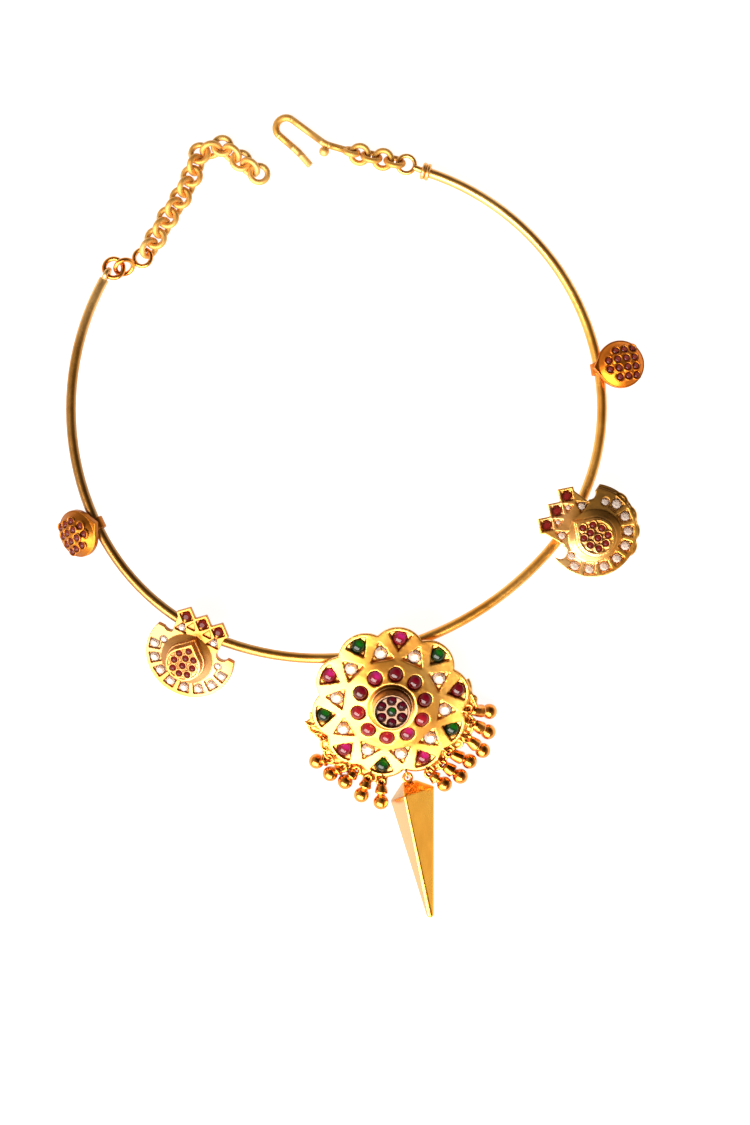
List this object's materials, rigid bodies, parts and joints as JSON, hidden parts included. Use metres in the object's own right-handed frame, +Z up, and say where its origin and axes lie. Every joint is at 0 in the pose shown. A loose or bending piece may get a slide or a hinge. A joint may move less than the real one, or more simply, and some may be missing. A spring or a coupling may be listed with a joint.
{
  "type": "temple choker necklace",
  "caption": "Rigid round gold neck wire with a jewelled ten-petal rosette, a spike, ball drops, crescent and bud ornaments, a ring chain and a hook.",
  "frame": {"origin": "middle of the neck opening, on the surface that the necklace lies on", "axes": "+Z up from the surface, +Y towards the open ends with the chain and the hook, +X to the right as it lies face up"},
  "size_m": [0.14, 0.1936, 0.0151],
  "materials": {
    "gold": "polished",
    "ruby": "polished",
    "emerald": "polished",
    "crystal": "polished"
  },
  "bodies": {
    "root": {"neck_wire": "gold", "rosette_plate": "gold", "boss_emerald": "emerald", "boss_rubies": "ruby", "outer_stone_1": "ruby", "outer_stone_2": "emerald", "outer_stone_3": "ruby", "outer_stone_4": "emerald", "outer_stone_5": "ruby", "outer_stone_6": "emerald", "outer_stone_7": "ruby", "outer_stone_8": "emerald", "outer_stone_9": "ruby", "outer_stone_10": "emerald", "inner_ruby_1": "ruby", "inner_ruby_2": "ruby", "inner_ruby_3": "ruby", "inner_ruby_4": "ruby", "inner_ruby_5": "ruby", "inner_ruby_6": "ruby", "inner_ruby_7": "ruby", "inner_ruby_8": "ruby", "inner_ruby_9": "ruby", "inner_ruby_10": "ruby", "rosette_crystals": "crystal", "drop_1": "gold", "drop_2": "gold", "drop_3": "gold", "drop_4": "gold", "drop_5": "gold", "drop_6": "gold", "drop_7": "gold", "drop_8": "gold", "drop_9": "gold", "drop_10": "gold", "drop_11": "gold", "drop_12": "gold", "drop_13": "gold", "spike": "gold", "left_crescent": "gold", "left_collet_rubies": "ruby", "left_crest_rubies": "ruby", "left_crystals": "crystal", "right_crescent": "gold", "right_collet_rubies": "ruby", "right_crest_rubies": "ruby", "right_crystals": "crystal", "left_bud": "gold", "left_bud_rubies": "ruby", "right_bud": "gold", "right_bud_rubies": "ruby", "jump_ring_1": "gold", "jump_ring_2": "gold", "jump_ring_3": "gold", "chain": "gold", "hook_links": "gold", "hook": "gold"}
  },
  "joints": []
}
